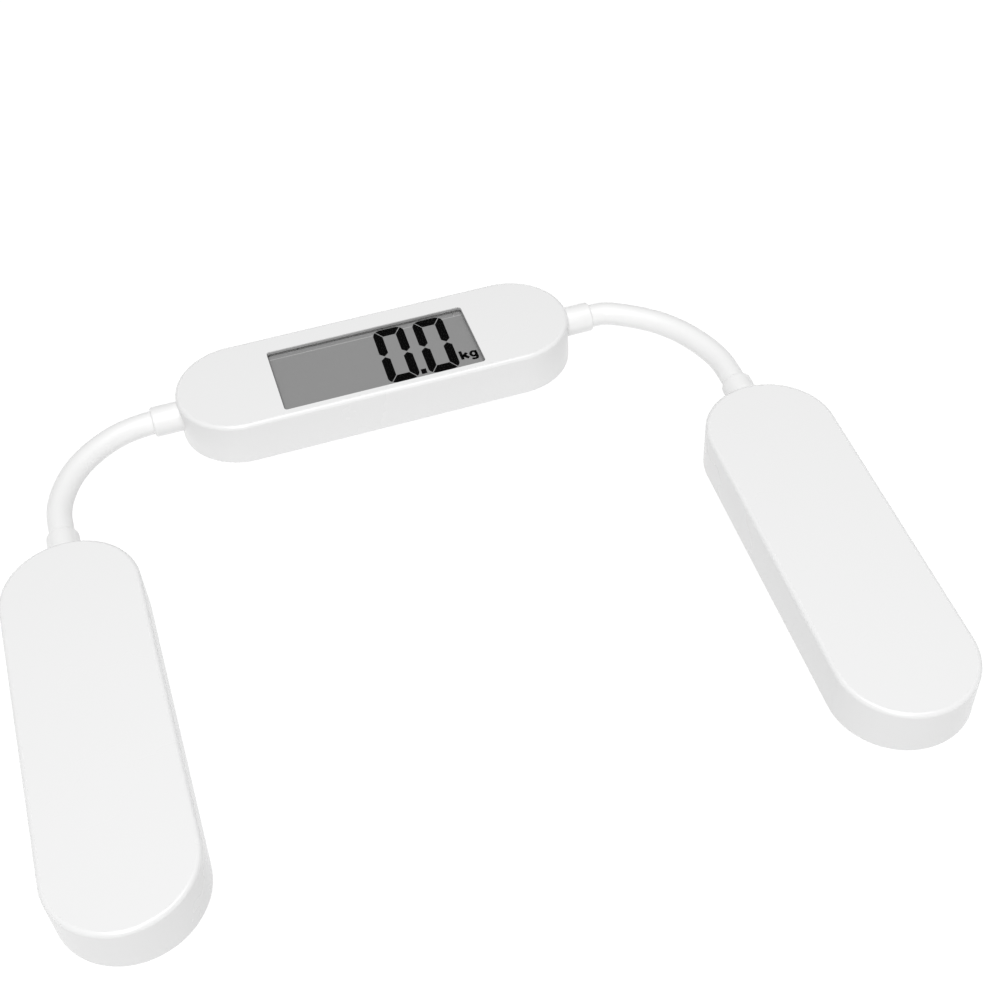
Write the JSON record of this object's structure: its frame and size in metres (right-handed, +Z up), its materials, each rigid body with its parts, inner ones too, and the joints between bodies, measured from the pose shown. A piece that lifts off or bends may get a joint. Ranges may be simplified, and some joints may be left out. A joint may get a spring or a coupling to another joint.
{
  "type": "folding travel body scale",
  "caption": "Folding travel scale: a pill-shaped display module with an LCD, joined by flexible hoses to pill-shaped foot bars that fold beneath it.",
  "frame": {"origin": "on the floor, under the middle of the display module, at its centre pad", "axes": "+X along the display module, +Z up, foot bars towards -Y"},
  "size_m": [0.3619, 0.2986, 0.023],
  "materials": {
    "casing_white": "satin gloss",
    "base_white": "fine matte",
    "hose_white": "soft matte, slightly translucent",
    "cable_grey": "matte",
    "inner_plastic": "matte",
    "window_lens": "clear polished",
    "lcd_glass": "smooth grey",
    "reflector_film": "matte",
    "contact_rubber": "striped elastomer",
    "circuit_board": "solder mask",
    "chip_black": "matte",
    "zinc_steel": "zinc plated",
    "spring_steel": "ground",
    "contact_metal": "nickel plated",
    "cell_steel": "polished",
    "pad_rubber": "matte white rubber"
  },
  "bodies": {
    "display": {"display_casing": "casing_white", "lcd_window": "window_lens", "display_base": "base_white", "display_pads": "pad_rubber", "display_base_screws": "zinc_steel", "left_display_collar": "casing_white", "right_display_collar": "casing_white", "lcd_panel": "lcd_glass", "lcd_reflector": "reflector_film", "lcd_holder": "inner_plastic", "contact_strip": "contact_rubber", "main_board": "circuit_board", "controller_chip": "chip_black", "board_screws": "zinc_steel", "cable_clamps": "inner_plastic", "unit_switch": "chip_black", "coin_cell": "cell_steel", "battery_cup": "inner_plastic", "negative_contact": "contact_metal", "positive_contact": "contact_metal"},
    "battery_cap": {"battery_cap": "base_white"},
    "unit_button": {"unit_button": "base_white", "switch_plunger": "inner_plastic"},
    "left_hose_root": {"left_display_nipple": "inner_plastic"},
    "left_hose_middle": {"left_hose": "hose_white", "left_cable": "cable_grey"},
    "left_hose_tip": {"left_foot_nipple": "inner_plastic"},
    "right_hose_root": {"right_display_nipple": "inner_plastic"},
    "right_hose_tip": {"right_hose": "hose_white", "right_cable": "cable_grey", "right_foot_nipple": "inner_plastic"},
    "left_foot_bar": {"left_tread_casing": "casing_white", "left_stiffener_plate": "zinc_steel", "left_front_load_cell": "spring_steel", "left_rear_load_cell": "spring_steel", "left_front_cell_carrier": "inner_plastic", "left_rear_cell_carrier": "inner_plastic", "left_front_pad_cup": "inner_plastic", "left_rear_pad_cup": "inner_plastic", "left_foot_pads": "pad_rubber", "left_cell_screws": "zinc_steel", "left_junction_board": "circuit_board", "left_foot_base": "base_white", "left_foot_base_screws": "zinc_steel", "left_foot_collar": "casing_white"},
    "right_foot_bar": {"right_tread_casing": "casing_white", "right_stiffener_plate": "zinc_steel", "right_front_load_cell": "spring_steel", "right_rear_load_cell": "spring_steel", "right_front_cell_carrier": "inner_plastic", "right_rear_cell_carrier": "inner_plastic", "right_front_pad_cup": "inner_plastic", "right_rear_pad_cup": "inner_plastic", "right_foot_pads": "pad_rubber", "right_cell_screws": "zinc_steel", "right_junction_board": "circuit_board", "right_foot_base": "base_white", "right_foot_base_screws": "zinc_steel", "right_foot_collar": "casing_white"}
  },
  "joints": [
    {"name": "left_fold", "type": "hinge", "parent": "display", "child": "left_hose_root", "pos_m": [-0.1065, 0, 0.013], "axis": [1, 0, 0], "range_deg": [0, 90], "deforming": ["left_hose", "left_cable"]},
    {"name": "left_first_bend", "type": "hinge", "parent": "left_hose_root", "child": "left_hose_middle", "pos_m": [-0.12363, -0.00711, 0.013], "axis": [0, 0, 1], "range_deg": [0, 33.17], "deforming": ["left_hose", "left_cable"]},
    {"name": "left_second_bend", "type": "hinge", "parent": "left_hose_middle", "child": "left_hose_tip", "pos_m": [-0.1491, -0.03513, 0.013], "axis": [0, 0, 1], "range_deg": [0, 56.03], "deforming": ["left_hose", "left_cable"]},
    {"name": "left_foot_turn", "type": "hinge", "parent": "left_hose_tip", "child": "left_foot_bar", "pos_m": [-0.15404, -0.07087, 0.013], "axis": [0.0157, -0.9999, 0], "range_deg": [0, 90.05], "deforming": ["left_hose", "left_cable"]},
    {"name": "right_fold", "type": "hinge", "parent": "display", "child": "right_hose_root", "pos_m": [0.1065, 0, 0.013], "axis": [1, 0, 0], "range_deg": [0, 90], "deforming": ["right_hose", "right_cable"]},
    {"name": "right_hose_bend", "type": "hinge", "parent": "right_hose_root", "child": "right_hose_tip", "pos_m": [0.15213, -0.02379, 0.013], "axis": [0, 0, -1], "range_deg": [0, 87.45], "deforming": ["right_hose", "right_cable"]},
    {"name": "right_foot_turn", "type": "hinge", "parent": "right_hose_tip", "child": "right_foot_bar", "pos_m": [0.1522, -0.08198, 0.013], "axis": [0.0454, 0.999, 0], "range_deg": [0, 90.05], "deforming": ["right_hose", "right_cable"]},
    {"name": "battery_cap_turn", "type": "hinge", "parent": "display", "child": "battery_cap", "pos_m": [-0.034, -0.002, 0.003], "axis": [0, 0, 1], "range_deg": [0, 50]},
    {"name": "unit_button_press", "type": "slide", "parent": "display", "child": "unit_button", "axis": [0, 0, 1], "range_m": [0, 0.0005], "stiffness_N_per_m": 1500, "springref_m": -0.0003}
  ],
  "couplings": [
    {"joint": "left_first_bend", "follows": "left_fold", "ratio": 0.368},
    {"joint": "left_second_bend", "follows": "left_fold", "ratio": 0.622},
    {"joint": "left_foot_turn", "follows": "left_fold", "ratio": 1},
    {"joint": "right_hose_bend", "follows": "right_fold", "ratio": 0.97111},
    {"joint": "right_foot_turn", "follows": "right_fold", "ratio": 1}
  ]
}
